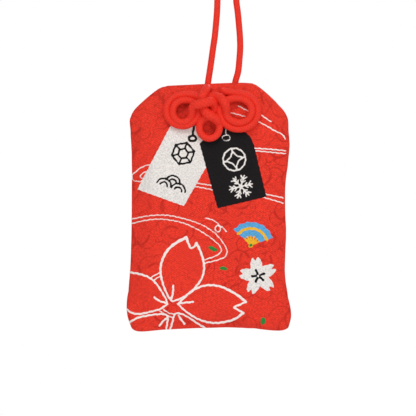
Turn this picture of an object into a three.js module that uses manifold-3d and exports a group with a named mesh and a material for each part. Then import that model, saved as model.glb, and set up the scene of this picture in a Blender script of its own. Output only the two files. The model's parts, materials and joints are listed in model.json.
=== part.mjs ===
// Omamori charm: a stiffened brocade pouch with a wooden amulet inside, a cord knotted on its
// front in double loops, and a cord loop above its mouth to hang it by.
// Millimetres, +Z up, the front faces -Y, the origin is where a hook carries the hanging loop.
import * as THREE from "three";
import { mergeVertices } from "three/addons/utils/BufferGeometryUtils.js";
import Module from "manifold-3d";

const wasm = await Module();
wasm.setup();

// Cord
const CORD_DIAMETER = 1.8;
const CORD_SIDES = 8;
const CORD_STEP = 2.4;
const KNOT_STEP = 1.25;
const SEAT_CLEARANCE = 0.3;
const HOLE_CLEARANCE = 0.25;
const INNER_BEND = 0.1;
const INNER_REACH = 0.55;
const KNOT_GAP = 0.5;
const TURN_STEP = 30;
const HOLE_SIDES = 16;
const NEAR_SPAN = 2.2;

// Pouch outline, from the mouth down
const MOUTH_WIDTH = 27.8;
const MOUTH_TILT = 0.8;
const MOUTH_CORNER = 1.8;
const SHOULDER_WIDTH = 48.4;
const SHOULDER_DROP = 11.2;
const SHOULDER_BULGE = 1.3;
const WAIST_WIDTH = 46.9;
const HIP_WIDTH = 50.1;
const POUCH_HEIGHT = 75.3;
const HIP_RISE = 5.3;
const BOTTOM_CORNER = 4.6;
const BOTTOM_RISE = 0.7;
const UPPER_EASE = 0.26;
const LOWER_EASE = 0.66;
const OUTLINE_POINTS = 96;

// Cloth of the pouch and how it swells between its seams
const CLOTH_THICKNESS = 0.55;
const POUCH_THICKNESS = 6.8;
const SEAM_GAP = 0.4;
const CROWN_REACH = 8;
const CROWN_FULLNESS = 2.2;
const MOUTH_SPREAD = 5;
const MOUTH_DEPTH = 9;
const CLOTH_RINGS = [0, 0.08, 0.22, 0.45, 0.72, 1];
const INTERLINING_RINGS = [0, 0.25, 0.6, 1];

// What is inside the pouch
const LAYER_GAP = 0.2;
const INTERLINING_THICKNESS = 0.3;
const INTERLINING_INSET = 2.4;
const CARD_THICKNESS = 0.9;
const CARD_INSET = 3.7;
const CARD_CORNER = 3;
const TABLET_WIDTH = 24;
const TABLET_HEIGHT = 42;
const TABLET_THICKNESS = 1.5;
const TABLET_PEAK = 4;
const WRAPPER_THICKNESS = 0.3;
const WRAPPER_MARGIN = 3;
const AMULET_RISE = 15.3;

// Seam thread
const THREAD_DIAMETER = 0.4;
const THREAD_SIDES = 6;
const STITCH_LENGTH = 3.2;
const STITCH_SWING = 0.4;
const SEAM_INSET = 1;

// Hanging loop
const LOOP_HEIGHT = 40;
const LOOP_MIDDLE = 5.55;
const CROWN_RADIUS = 3.7;
const CROWN_STEPS = 6;

const cordRadius = CORD_DIAMETER / 2;
const mouthGap = CORD_DIAMETER + 2 * SEAT_CLEARANCE;
const outerCrown = POUCH_THICKNESS / 2;
const innerCrown = outerCrown - CLOTH_THICKNESS;
const mouthZ = cordRadius - LOOP_HEIGHT;
const swingHeight = cordRadius + SEAT_CLEARANCE;
const hipDrop = POUCH_HEIGHT - HIP_RISE;

const FRONT = -1;
const BACK = 1;

const vermilionCloth = { color: 0xe03a2a, roughness: 0.85, metalness: 0 };
const vermilionCord = { color: 0xee3a2c, roughness: 0.75, metalness: 0 };
const whiteBacking = { color: 0xe9e4da, roughness: 0.9, metalness: 0 };
const greyCard = { color: 0xb9b2a2, roughness: 0.95, metalness: 0 };
const palePaper = { color: 0xf3efe4, roughness: 0.9, metalness: 0 };
const paleWood = { color: 0xd9b98a, roughness: 0.7, metalness: 0 };
const redThread = { color: 0xc8301f, roughness: 0.8, metalness: 0 };

// Closed geometry to solid and back, for cuts and joins

function solidOf(geometry) {
  const bare = geometry.clone();
  bare.deleteAttribute("normal");
  bare.deleteAttribute("uv");
  const merged = mergeVertices(bare, 1e-4);
  return new wasm.Manifold(
    new wasm.Mesh({
      numProp: 3,
      vertProperties: merged.attributes.position.array,
      triVerts: new Uint32Array(merged.index.array),
    }),
  );
}

function geometryOf(solid) {
  const mesh = solid.getMesh();
  const geometry = new THREE.BufferGeometry();
  geometry.setAttribute("position", new THREE.BufferAttribute(mesh.vertProperties, 3));
  geometry.setIndex(new THREE.BufferAttribute(mesh.triVerts, 1));
  geometry.computeVertexNormals();
  return geometry;
}

function named(name, geometry, look) {
  const mesh = new THREE.Mesh(geometry, new THREE.MeshStandardMaterial(look));
  mesh.name = name;
  return mesh;
}

// Outline of the pouch in its own plane: x across, y up from the mouth

function sideControls(side) {
  const shoulder = SHOULDER_WIDTH / 2;
  const hip = HIP_WIDTH / 2;
  const sideLength = hipDrop - SHOULDER_DROP;
  const drawnIn = (WAIST_WIDTH / 2 - (shoulder + hip) / 8) * (4 / 3);
  return {
    upper: new THREE.Vector2(side * shoulder, -SHOULDER_DROP - sideLength * UPPER_EASE),
    lower: new THREE.Vector2(side * (2 * drawnIn - shoulder), -SHOULDER_DROP - sideLength * LOWER_EASE),
    hip: new THREE.Vector2(side * hip, -hipDrop),
    shoulder: new THREE.Vector2(side * shoulder, -SHOULDER_DROP),
  };
}

function pouchShape() {
  const mouth = MOUTH_WIDTH / 2;
  const right = sideControls(1);
  const left = sideControls(-1);
  const slope = new THREE.Vector2(SHOULDER_DROP, SHOULDER_WIDTH / 2 - mouth).normalize();
  const bulge = 2 * SHOULDER_BULGE;
  const bottomFoot = HIP_WIDTH / 2 - BOTTOM_CORNER;
  const shoulderControl = (side, drop) =>
    new THREE.Vector2(
      side * ((mouth + SHOULDER_WIDTH / 2) / 2 + slope.x * bulge),
      -(drop + SHOULDER_DROP) / 2 + slope.y * bulge,
    );
  const rightControl = shoulderControl(1, 0);
  const leftControl = shoulderControl(-1, MOUTH_TILT);
  const rightCorner = new THREE.Vector2(mouth, 0);
  const leftCorner = new THREE.Vector2(-mouth, -MOUTH_TILT);
  const turnFrom = (corner, control) =>
    corner.clone().lerp(control, MOUTH_CORNER / corner.distanceTo(control));
  const rightTurn = turnFrom(rightCorner, rightControl);
  const leftTurn = turnFrom(leftCorner, leftControl);
  const shape = new THREE.Shape();
  shape.moveTo(mouth - MOUTH_CORNER, 0);
  shape.lineTo(-mouth + MOUTH_CORNER, -MOUTH_TILT);
  shape.quadraticCurveTo(leftCorner.x, leftCorner.y, leftTurn.x, leftTurn.y);
  shape.quadraticCurveTo(leftControl.x, leftControl.y, left.shoulder.x, left.shoulder.y);
  shape.bezierCurveTo(left.upper.x, left.upper.y, left.lower.x, left.lower.y, left.hip.x, left.hip.y);
  shape.quadraticCurveTo(left.hip.x, -POUCH_HEIGHT, -bottomFoot, -POUCH_HEIGHT);
  shape.quadraticCurveTo(0, -POUCH_HEIGHT + 2 * BOTTOM_RISE, bottomFoot, -POUCH_HEIGHT);
  shape.quadraticCurveTo(right.hip.x, -POUCH_HEIGHT, right.hip.x, right.hip.y);
  shape.bezierCurveTo(
    right.lower.x,
    right.lower.y,
    right.upper.x,
    right.upper.y,
    right.shoulder.x,
    right.shoulder.y,
  );
  shape.quadraticCurveTo(rightControl.x, rightControl.y, rightTurn.x, rightTurn.y);
  shape.quadraticCurveTo(rightCorner.x, rightCorner.y, mouth - MOUTH_CORNER, 0);
  return shape;
}

const pouchEdge = pouchShape();
const outline = pouchEdge.getSpacedPoints(OUTLINE_POINTS).slice(0, OUTLINE_POINTS);

function inwardNormal(i) {
  const before = outline[(i + OUTLINE_POINTS - 1) % OUTLINE_POINTS];
  const after = outline[(i + 1) % OUTLINE_POINTS];
  return new THREE.Vector2(before.y - after.y, after.x - before.x).normalize();
}

function insetOutline(inset) {
  return outline.map((point, i) => point.clone().addScaledVector(inwardNormal(i), inset));
}

function distanceToEdge(x, z) {
  let least = Infinity;
  for (let i = 0; i < OUTLINE_POINTS; i++) {
    const a = outline[i];
    const b = outline[(i + 1) % OUTLINE_POINTS];
    const along = ((x - a.x) * (b.x - a.x) + (z - a.y) * (b.y - a.y)) / a.distanceToSquared(b);
    const t = THREE.MathUtils.clamp(along, 0, 1);
    least = Math.min(least, Math.hypot(x - a.x - t * (b.x - a.x), z - a.y - t * (b.y - a.y)));
  }
  return least;
}

// Height of the cloth's inner face above the pouch's middle plane

function clothInside(x, z) {
  const reach = Math.min(1, distanceToEdge(x, z) / CROWN_REACH);
  const rise = 1 - (1 - reach) ** CROWN_FULLNESS;
  const acrossMouth = THREE.MathUtils.smoothstep(MOUTH_WIDTH / 2 - Math.abs(x), 0, MOUTH_SPREAD);
  const nearMouth = THREE.MathUtils.smoothstep(z, -MOUTH_DEPTH, -MOUTH_TILT);
  const edge = THREE.MathUtils.lerp(SEAM_GAP / 2, mouthGap / 2, acrossMouth * nearMouth);
  return edge + (innerCrown - edge) * rise;
}

const clothOutside = (x, z) => clothInside(x, z) + CLOTH_THICKNESS;

// Thin swelling panel over an outline, as rings that step in from the rim to a flat middle

function panelGeometry(rim, rings, outside, inside, side) {
  const count = rim.length;
  const centre = new THREE.Vector2(0, -POUCH_HEIGHT / 2);
  const margin = CROWN_REACH + 2 * INTERLINING_INSET;
  const middleScale = new THREE.Vector2(
    1 - margin / (WAIST_WIDTH / 2),
    1 - margin / (POUCH_HEIGHT / 2),
  );
  const positions = [];
  const faces = [];
  const ringPoint = (i, share) => {
    const middle = rim[i].clone().sub(centre).multiply(middleScale).add(centre);
    return rim[i].clone().lerp(middle, share);
  };
  for (const height of [outside, inside]) {
    for (const share of rings) {
      for (let i = 0; i < count; i++) {
        const p = ringPoint(i, share);
        positions.push(p.x, side * height(p.x, p.y), p.y);
      }
    }
  }
  const layer = rings.length * count;
  const face = (a, b, c) => faces.push(...(side === FRONT ? [a, b, c] : [a, c, b]));
  const quad = (a, b, c, d) => {
    face(a, b, c);
    face(a, c, d);
  };
  for (let ring = 0; ring < rings.length - 1; ring++) {
    for (let i = 0; i < count; i++) {
      const next = (i + 1) % count;
      const a = ring * count + i;
      const b = ring * count + next;
      quad(a, b, b + count, a + count);
      quad(layer + b, layer + a, layer + a + count, layer + b + count);
    }
  }
  const last = (rings.length - 1) * count;
  const middle = rim.map((_, i) => ringPoint(i, 1));
  for (const [a, b, c] of THREE.ShapeUtils.triangulateShape(middle, [])) {
    face(last + a, last + b, last + c);
    face(layer + last + a, layer + last + c, layer + last + b);
  }
  for (let i = 0; i < count; i++) {
    const next = (i + 1) % count;
    quad(next, i, layer + i, layer + next);
  }
  const geometry = new THREE.BufferGeometry();
  geometry.setAttribute("position", new THREE.Float32BufferAttribute(positions, 3));
  geometry.setIndex(faces);
  return geometry;
}

// Round cord or thread along a route

function cordGeometry(route, diameter, sides, step) {
  const curve = new THREE.CatmullRomCurve3(route, false, "centripetal");
  const section = new THREE.Shape();
  section.absarc(0, 0, diameter / 2, 0, 2 * Math.PI, false);
  return new THREE.ExtrudeGeometry(section, {
    steps: Math.round(curve.getLength() / step),
    curveSegments: sides / 2,
    extrudePath: curve,
    bevelEnabled: false,
  });
}

function leastGap(route, diameter) {
  const curve = new THREE.CatmullRomCurve3(route, false, "centripetal");
  const spacing = diameter / 4;
  const points = curve.getSpacedPoints(Math.round(curve.getLength() / spacing));
  const apart = Math.ceil((NEAR_SPAN * diameter) / spacing);
  let least = Infinity;
  points.forEach((p, i) => {
    for (let j = i + apart; j < points.length; j++) least = Math.min(least, p.distanceTo(points[j]));
  });
  return least - diameter;
}

// Knot on the front: routes are given as x across, z up from the mouth, and height over the cloth

const onFace = ([x, z, height]) => new THREE.Vector3(x, -(clothOutside(x, z) + height), z);

const knotPitch = CORD_DIAMETER + KNOT_GAP;
const low = cordRadius + SEAT_CLEARANCE;
const lift = (share) => low + share * knotPitch;
const LEFT_HOLE = [-0.4, -2];
const RIGHT_HOLE = [5.6, -1.9];
const LEFT_EAR = { x: -7.8, z: -8.4, holeRadius: 1.5 };
const RIGHT_EAR = { x: 9.6, z: -8.2, holeRadius: 2.4 };
const BOTTOM_LOOP = { x: 0.4, z: -13.5, holeRadius: 2.3 };

// Part of a round turn about an ear's hole, from one layer of cord to another
function turn(ear, fromDegrees, toDegrees, fromLayer, toLayer = fromLayer) {
  const count = Math.round(Math.abs(toDegrees - fromDegrees) / TURN_STEP);
  return Array.from({ length: count + 1 }, (_, i) => {
    const angle = THREE.MathUtils.degToRad(THREE.MathUtils.lerp(fromDegrees, toDegrees, i / count));
    const layer = THREE.MathUtils.lerp(fromLayer, toLayer, i / count);
    const radius = ear.holeRadius + cordRadius + layer * knotPitch;
    return [ear.x + radius * Math.cos(angle), ear.z + radius * Math.sin(angle), low];
  });
}

const knotRoute = [
  [...LEFT_HOLE, SEAT_CLEARANCE],
  [-0.5, -2.1, lift(0.3)],
  [-0.9, -2.6, lift(0.9)],
  [-1.4, -3.6, lift(1.15)],
  [-1.6, -4.8, lift(1.1)],
  [-1.6, -6, lift(0.85)],
  [-1.3, -7.2, lift(0.7)],
  [-0.8, -8.4, lift(0.85)],
  [0.1, -9.4, lift(1.05)],
  [1.2, -10.2, lift(0.95)],
  [2, -11, lift(0.45)],
  [2.5, -11.9, low],
  ...turn(BOTTOM_LOOP, 0, -180, 0),
  [-1.9, -12.2, low],
  [-1.3, -11.1, low],
  [-0.4, -10.1, low],
  [0.6, -9.2, low],
  [1.4, -8.2, low],
  [1.7, -7.1, lift(0.35)],
  [1.1, -6.2, lift(1)],
  [-0.2, -6, lift(1.65)],
  [-1.6, -6.3, lift(1.95)],
  [-2.9, -6.8, lift(1.65)],
  [-4.1, -7.3, lift(1.15)],
  [-5, -8.1, lift(0.75)],
  [-5.5, -9.3, lift(0.25)],
  ...turn(LEFT_EAR, -60, -255, 0),
  ...turn(LEFT_EAR, -285, -345, 0.15, 0.85),
  ...turn(LEFT_EAR, -375, -615, 1),
  [-6, -3.4, low],
  [-4.2, -3.6, low],
  [-2.6, -4.2, low],
  [-1.2, -4.6, low],
  [0.2, -4.6, lift(0.05)],
  [1.6, -4.2, lift(0.15)],
  [2.8, -4, lift(0.4)],
  [3.9, -4.3, lift(0.8)],
  [4.8, -5.1, lift(1.05)],
  [5.5, -6.1, lift(1.1)],
  [6.1, -7.2, lift(0.9)],
  [6.35, -8.3, lift(0.45)],
  ...turn(RIGHT_EAR, 205, 435, 0),
  ...turn(RIGHT_EAR, 465, 525, 0.15, 0.85),
  ...turn(RIGHT_EAR, 555, 800, 1),
  [8.8, -2.35, low],
  [7.2, -2.05, low],
  [5.95, -1.93, lift(-0.02)],
  [...RIGHT_HOLE, SEAT_CLEARANCE],
].map(onFace);

// Short stretch of cord inside the mouth, out through its hole in the front panel

function innerCordRoute(mouthX, [holeX, holeZ]) {
  const face = -clothOutside(holeX, holeZ);
  return [
    new THREE.Vector3(mouthX, 0, -SEAT_CLEARANCE),
    new THREE.Vector3(mouthX, 0, -cordRadius),
    new THREE.Vector3((mouthX + holeX) / 2, face * INNER_BEND, (holeZ - cordRadius) / 2 - SEAT_CLEARANCE),
    new THREE.Vector3(holeX, face * INNER_REACH, holeZ),
    new THREE.Vector3(holeX, face, holeZ),
  ];
}

function cordHole([holeX, holeZ]) {
  const drill = new THREE.CylinderGeometry(
    cordRadius + HOLE_CLEARANCE,
    cordRadius + HOLE_CLEARANCE,
    POUCH_THICKNESS,
    HOLE_SIDES,
  );
  drill.translate(holeX, -POUCH_THICKNESS / 2 - mouthGap / 4, holeZ);
  return solidOf(drill);
}

// Hanging loop: two strands out of the mouth, drawn together, and a round crown where it hangs

const LEFT_STRAND = [
  [-0.15, swingHeight],
  [0.2, 3.5],
  [0.75, 7.2],
  [1.3, 10.9],
  [1.8, 14.5],
  [2.15, 18.2],
  [2.45, 21.9],
  [2.6, 25.5],
  [2.5, 28.8],
  [2.15, 32.2],
];
const RIGHT_STRAND = [
  [8.95, 32.2],
  [8.5, 28.8],
  [8.4, 25.5],
  [8.85, 21.9],
  [9.2, 18.2],
  [9.5, 14.5],
  [9.6, 10.9],
  [9.4, 7.2],
  [8.85, 3.5],
  [8.05, swingHeight],
];

function hangingLoop() {
  const crown = Array.from({ length: CROWN_STEPS + 1 }, (_, i) => {
    const angle = Math.PI * (1 - i / CROWN_STEPS);
    return [
      LOOP_MIDDLE + CROWN_RADIUS * Math.cos(angle),
      LOOP_HEIGHT - CROWN_RADIUS + CROWN_RADIUS * Math.sin(angle),
    ];
  });
  const route = [...LEFT_STRAND, ...crown, ...RIGHT_STRAND].map(([x, z]) => new THREE.Vector3(x, 0, z));
  let solid = solidOf(cordGeometry(route, CORD_DIAMETER, CORD_SIDES, CORD_STEP));
  for (const end of [route[0], route[route.length - 1]]) {
    const ball = new THREE.SphereGeometry(cordRadius, CORD_SIDES, CORD_SIDES);
    ball.rotateX(Math.PI / 2);
    ball.translate(end.x, end.y, end.z);
    solid = solid.add(solidOf(ball));
  }
  return geometryOf(solid);
}

// Seam thread: zigzag between the rims of the two panels, along one stretch of the outline

function seamRoute(stretch) {
  const path = new THREE.CurvePath();
  path.curves = stretch;
  const count = Math.round((path.getLength() - 2 * SEAM_INSET) / STITCH_LENGTH);
  const margin = SEAM_INSET / path.getLength();
  return Array.from({ length: count + 1 }, (_, i) => {
    const share = margin + ((1 - 2 * margin) * i) / count;
    const edge = path.getPointAt(share);
    const along = path.getTangentAt(share);
    const inset = SEAM_INSET + (i % 2 ? STITCH_SWING : -STITCH_SWING);
    return new THREE.Vector3(edge.x - along.y * inset, 0, edge.y + along.x * inset);
  });
}

// Inside of the pouch

function stiffenerCard() {
  const half = WAIST_WIDTH / 2 - CARD_INSET;
  const top = Math.min(LEFT_HOLE[1], RIGHT_HOLE[1]) - cordRadius - HOLE_CLEARANCE - LAYER_GAP;
  const bottom = -POUCH_HEIGHT + 2 * BOTTOM_RISE + CARD_INSET;
  const shoulder = -SHOULDER_DROP - CARD_INSET / 2;
  const topHalf = half - (top - shoulder);
  const shape = new THREE.Shape();
  shape.moveTo(-half + CARD_CORNER, bottom);
  shape.lineTo(half - CARD_CORNER, bottom);
  shape.quadraticCurveTo(half, bottom, half, bottom + CARD_CORNER);
  shape.lineTo(half, shoulder);
  shape.lineTo(topHalf, top);
  shape.lineTo(-topHalf, top);
  shape.lineTo(-half, shoulder);
  shape.lineTo(-half, bottom + CARD_CORNER);
  shape.quadraticCurveTo(-half, bottom, -half + CARD_CORNER, bottom);
  const card = new THREE.ExtrudeGeometry(shape, { depth: CARD_THICKNESS, bevelEnabled: false });
  card.rotateX(Math.PI / 2);
  card.translate(0, cardBack, 0);
  return card;
}

const wrapperDepth = TABLET_THICKNESS + 2 * (LAYER_GAP + WRAPPER_THICKNESS);
const amuletBack = innerCrown - LAYER_GAP - INTERLINING_THICKNESS - LAYER_GAP;
const amuletMiddle = amuletBack - wrapperDepth / 2;
const cardBack = amuletMiddle - wrapperDepth / 2 - LAYER_GAP;
const amuletTop = AMULET_RISE + TABLET_HEIGHT - POUCH_HEIGHT;

function amuletTablet() {
  const half = TABLET_WIDTH / 2;
  const shape = new THREE.Shape();
  shape.moveTo(-half, -TABLET_HEIGHT);
  shape.lineTo(half, -TABLET_HEIGHT);
  shape.lineTo(half, -TABLET_PEAK);
  shape.lineTo(0, 0);
  shape.lineTo(-half, -TABLET_PEAK);
  shape.closePath();
  const tablet = new THREE.ExtrudeGeometry(shape, { depth: TABLET_THICKNESS, bevelEnabled: false });
  tablet.rotateX(Math.PI / 2);
  tablet.translate(0, amuletMiddle + TABLET_THICKNESS / 2, amuletTop);
  return tablet;
}

function amuletWrapper() {
  const width = TABLET_WIDTH + 2 * (LAYER_GAP + WRAPPER_THICKNESS);
  const height = TABLET_HEIGHT - TABLET_PEAK - 2 * WRAPPER_MARGIN;
  const outer = new THREE.BoxGeometry(width, wrapperDepth, height);
  const bore = new THREE.BoxGeometry(
    width - 2 * WRAPPER_THICKNESS,
    wrapperDepth - 2 * WRAPPER_THICKNESS,
    height + WRAPPER_MARGIN,
  );
  const sleeve = geometryOf(solidOf(outer).subtract(solidOf(bore)));
  sleeve.translate(0, amuletMiddle, amuletTop - TABLET_PEAK - WRAPPER_MARGIN - height / 2);
  return sleeve;
}

const interliningOutside = (x, z) => clothInside(x, z) - LAYER_GAP;
const interliningInside = (x, z) => interliningOutside(x, z) - INTERLINING_THICKNESS;

function interlining(side) {
  const sheet = panelGeometry(
    insetOutline(INTERLINING_INSET),
    INTERLINING_RINGS,
    interliningOutside,
    interliningInside,
    side,
  );
  if (side === BACK) return sheet;
  return geometryOf(solidOf(sheet).subtract(cordHole(LEFT_HOLE)).subtract(cordHole(RIGHT_HOLE)));
}

function frontPanel() {
  const sheet = solidOf(panelGeometry(outline, CLOTH_RINGS, clothOutside, clothInside, FRONT));
  return geometryOf(sheet.subtract(cordHole(LEFT_HOLE)).subtract(cordHole(RIGHT_HOLE)));
}

// Assembly

const pouch = new THREE.Group();
pouch.position.set(-LOOP_MIDDLE, 0, mouthZ);
const [, , , leftSide, leftFoot, bottomEdge, rightFoot, rightSide] = pouchEdge.curves;
const cord = (route, step) => cordGeometry(route, CORD_DIAMETER, CORD_SIDES, step);
const leftInner = innerCordRoute(LEFT_STRAND[0][0], LEFT_HOLE);
const rightInner = innerCordRoute(RIGHT_STRAND.at(-1)[0], RIGHT_HOLE);
const thread = (...stretch) =>
  cordGeometry(seamRoute(stretch), THREAD_DIAMETER, THREAD_SIDES, STITCH_LENGTH / 2);

pouch.add(
  named("hanging_loop", hangingLoop(), vermilionCord),
  named("inner_cord_left", cord(leftInner, KNOT_STEP / 2), vermilionCord),
  named("inner_cord_right", cord(rightInner, KNOT_STEP / 2), vermilionCord),
  named("double_knot", cord(knotRoute, KNOT_STEP), vermilionCord),
  named("front_panel", frontPanel(), vermilionCloth),
  named("back_panel", panelGeometry(outline, CLOTH_RINGS, clothOutside, clothInside, BACK), vermilionCloth),
  named("front_interlining", interlining(FRONT), whiteBacking),
  named("back_interlining", interlining(BACK), whiteBacking),
  named("stiffener_card", stiffenerCard(), greyCard),
  named("amulet_tablet", amuletTablet(), paleWood),
  named("amulet_wrapper", amuletWrapper(), palePaper),
  named("left_seam_thread", thread(leftSide), redThread),
  named("bottom_seam_thread", thread(leftFoot, bottomEdge, rightFoot), redThread),
  named("right_seam_thread", thread(rightSide), redThread),
);

console.log(`double_knot: least gap to itself ${leastGap(knotRoute, CORD_DIAMETER).toFixed(2)} mm`);

const charm = new THREE.Group();
charm.add(pouch);

export default charm;
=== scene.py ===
"""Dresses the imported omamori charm: braided cords, a padded brocade pouch and a plain stage."""

import json
import math

import bpy
import numpy as np
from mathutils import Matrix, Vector
from mathutils.bvhtree import BVHTree


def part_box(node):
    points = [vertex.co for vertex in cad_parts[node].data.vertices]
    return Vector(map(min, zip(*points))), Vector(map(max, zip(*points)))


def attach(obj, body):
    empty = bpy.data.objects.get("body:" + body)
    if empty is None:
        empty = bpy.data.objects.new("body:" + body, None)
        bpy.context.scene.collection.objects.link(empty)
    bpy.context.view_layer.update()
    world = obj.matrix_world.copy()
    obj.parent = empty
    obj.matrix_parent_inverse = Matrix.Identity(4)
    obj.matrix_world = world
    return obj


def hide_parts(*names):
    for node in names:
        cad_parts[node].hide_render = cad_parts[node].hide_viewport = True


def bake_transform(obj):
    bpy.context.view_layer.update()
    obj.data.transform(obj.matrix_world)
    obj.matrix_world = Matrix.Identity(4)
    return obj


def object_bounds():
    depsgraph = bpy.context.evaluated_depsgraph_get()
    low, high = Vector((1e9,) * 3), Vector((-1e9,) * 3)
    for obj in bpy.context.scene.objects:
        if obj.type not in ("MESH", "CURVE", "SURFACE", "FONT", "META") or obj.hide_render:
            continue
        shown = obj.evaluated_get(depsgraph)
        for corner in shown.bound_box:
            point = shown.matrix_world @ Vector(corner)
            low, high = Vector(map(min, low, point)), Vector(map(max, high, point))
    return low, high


bl_info = {
    "name": "Omamori Charm",
    "version": (1, 0, 0),
    "blender": (4, 5, 0),
    "location": "View3D > Sidebar > Charm",
    "description": "Builds the looks of a brocade omamori charm around its CAD frame",
    "category": "Object",
}

MM = 0.001
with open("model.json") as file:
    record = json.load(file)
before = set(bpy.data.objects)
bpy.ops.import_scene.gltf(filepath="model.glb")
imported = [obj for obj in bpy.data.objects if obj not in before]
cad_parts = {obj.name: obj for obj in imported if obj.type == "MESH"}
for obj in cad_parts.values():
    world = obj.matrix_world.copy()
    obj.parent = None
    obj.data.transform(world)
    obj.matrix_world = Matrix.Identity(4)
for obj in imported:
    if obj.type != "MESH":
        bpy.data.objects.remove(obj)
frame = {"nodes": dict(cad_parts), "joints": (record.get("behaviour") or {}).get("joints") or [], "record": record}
CAD_LOW, CAD_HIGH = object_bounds()
PANEL_LOW, PANEL_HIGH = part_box("front_panel")
MOUTH = Vector(((PANEL_LOW.x + PANEL_HIGH.x) / 2, 0, PANEL_HIGH.z))
SWING_Z = next(j["pos_m"][2] for j in frame["joints"] if j["name"] == "pouch_swing")

# Places on the pouch are in millimetres: across from its middle line and up from its mouth.
LEFT_SHOULDER = (-24.25, -11.2)
RIGHT_SHOULDER = (24.5, -11.0)
LEFT_MOUTH = (-13.3, -0.58)
RIGHT_MOUTH = (14.15, 0.15)
LEFT_FOOT = (-23.65, -74.9)
RIGHT_FOOT = (24.7, -74.9)
LEFT_SHOULDER_EDGE = [
    LEFT_SHOULDER, (-22.9, -8.1), (-21.1, -6.2), (-18.5, -3.85), (-15.9, -1.75), (-14.7, -0.95),
    LEFT_MOUTH,
]
MOUTH_EDGE = [
    LEFT_MOUTH, (-11.9, -0.48), (-8.0, -0.33), (0.0, 0.08), (6.6, 0.34), (11.6, 0.4), RIGHT_MOUTH,
]
RIGHT_SHOULDER_EDGE = [
    RIGHT_MOUTH, (16.2, -1.3), (18.95, -3.75), (21.45, -6.2), (23.45, -8.6), RIGHT_SHOULDER,
]
LEFT_SIDE = [
    LEFT_SHOULDER, (-24.0, -17.0), (-23.7, -24.0), (-23.75, -33.5), (-23.8, -42.0), (-24.05, -52.0),
    (-24.5, -61.0), (-25.2, -67.6), (-24.9, -71.3), LEFT_FOOT,
]
RIGHT_SIDE = [
    RIGHT_SHOULDER, (25.0, -18.5), (24.65, -24.5), (23.9, -31.0), (23.85, -39.0), (24.1, -45.0),
    (23.95, -51.0), (23.8, -58.0), (24.65, -65.0), (25.6, -70.7), RIGHT_FOOT,
]
FOOT_EDGE = [
    LEFT_FOOT, (-22.3, -76.0), (-14.0, -75.8), (-4.0, -75.35), (5.0, -75.12), (14.0, -75.35),
    (22.8, -75.85), RIGHT_FOOT,
]

LEFT_HOLE = (-0.35, -1.4)
RIGHT_HOLE = (4.3, -2.55)
STRAND_LEFT = [
    (-0.2, -0.6), (0.02, 1.2), (0.38, 3.5), (0.93, 7.2), (1.44, 10.9), (1.97, 14.5), (2.33, 18.2),
    (2.63, 21.9), (2.75, 25.5), (2.6, 28.8), (2.2, 32.2),
]
STRAND_RIGHT = [
    (9.0, 32.2), (8.6, 28.8), (8.53, 25.5), (8.98, 21.9), (9.34, 18.2), (9.64, 14.5), (9.73, 10.9),
    (9.48, 7.2), (9.08, 3.5), (8.42, 1.2), (8.05, -0.6),
]


def linear(red, green, blue):
    """Scene-linear colour from the eight-bit colour that a screen shows."""

    def channel(value):
        share = value / 255
        return share / 12.92 if share <= 0.04045 else ((share + 0.055) / 1.055) ** 2.4

    return channel(red), channel(green), channel(blue)


class CharmCordSettings(bpy.types.PropertyGroup):
    """Sizes and colour of the braided cord"""

    diameter: bpy.props.FloatProperty(
        name="Diameter", description="Thickness of the cord where it hangs",
        default=2.0 * MM, unit="LENGTH",
    )
    knot_diameter: bpy.props.FloatProperty(
        name="Knot Diameter", description="Thickness of the cord in the knot",
        default=2.23 * MM, unit="LENGTH",
    )
    braid_length: bpy.props.FloatProperty(
        name="Braid Length", description="Length of one crossing of the braid",
        default=0.9 * MM, unit="LENGTH",
    )
    relief: bpy.props.FloatProperty(
        name="Braid Relief", description="Depth between the strands",
        default=0.1 * MM, unit="LENGTH",
    )
    strands: bpy.props.IntProperty(
        name="Strands", description="Strands that turn each way round the cord",
        default=5, min=3,
    )
    loop_height: bpy.props.FloatProperty(
        name="Loop Height", description="From the mouth to the middle of the cord at the crown",
        default=40 * MM, unit="LENGTH",
    )
    crown_radius: bpy.props.FloatProperty(
        name="Crown Radius", description="Radius of the loop's crown",
        default=3.7 * MM, unit="LENGTH",
    )
    colour: bpy.props.FloatVectorProperty(
        name="Colour", description="Colour of the cord",
        default=linear(243, 53, 36), subtype="COLOR",
    )


class CharmPouchSettings(bpy.types.PropertyGroup):
    """Sizes of the padded pouch"""

    thickness: bpy.props.FloatProperty(
        name="Thickness", description="From the front of the pouch to its back",
        default=6.8 * MM, unit="LENGTH",
    )
    edge_reach: bpy.props.FloatProperty(
        name="Edge Reach", description="How far in from the seam the padding is full",
        default=8 * MM, unit="LENGTH",
    )
    fold_radius: bpy.props.FloatProperty(
        name="Fold Radius", description="Roundness of the sewn edge",
        default=0.9 * MM, unit="LENGTH",
    )
    mouth_opening: bpy.props.FloatProperty(
        name="Mouth Opening", description="Gap between the lips of the mouth",
        default=2.4 * MM, unit="LENGTH",
    )
    pocket_depth: bpy.props.FloatProperty(
        name="Pocket Depth", description="How far one sees into the mouth",
        default=3.6 * MM, unit="LENGTH",
    )
    slack: bpy.props.FloatProperty(
        name="Slack", description="Share by which the cloth is longer than the form it covers",
        default=0.03, subtype="FACTOR",
    )
    pressure: bpy.props.FloatProperty(
        name="Pressure", description="Push of the padding on the cloth", default=0.2
    )
    most_move: bpy.props.FloatProperty(
        name="Most Move", description="How far the padding may move the cloth",
        default=0.45 * MM, unit="LENGTH",
    )
    weft_relief: bpy.props.FloatProperty(
        name="Weft Relief", description="How far a woven figure stands above the ground",
        default=0.06 * MM, unit="LENGTH",
    )


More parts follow.
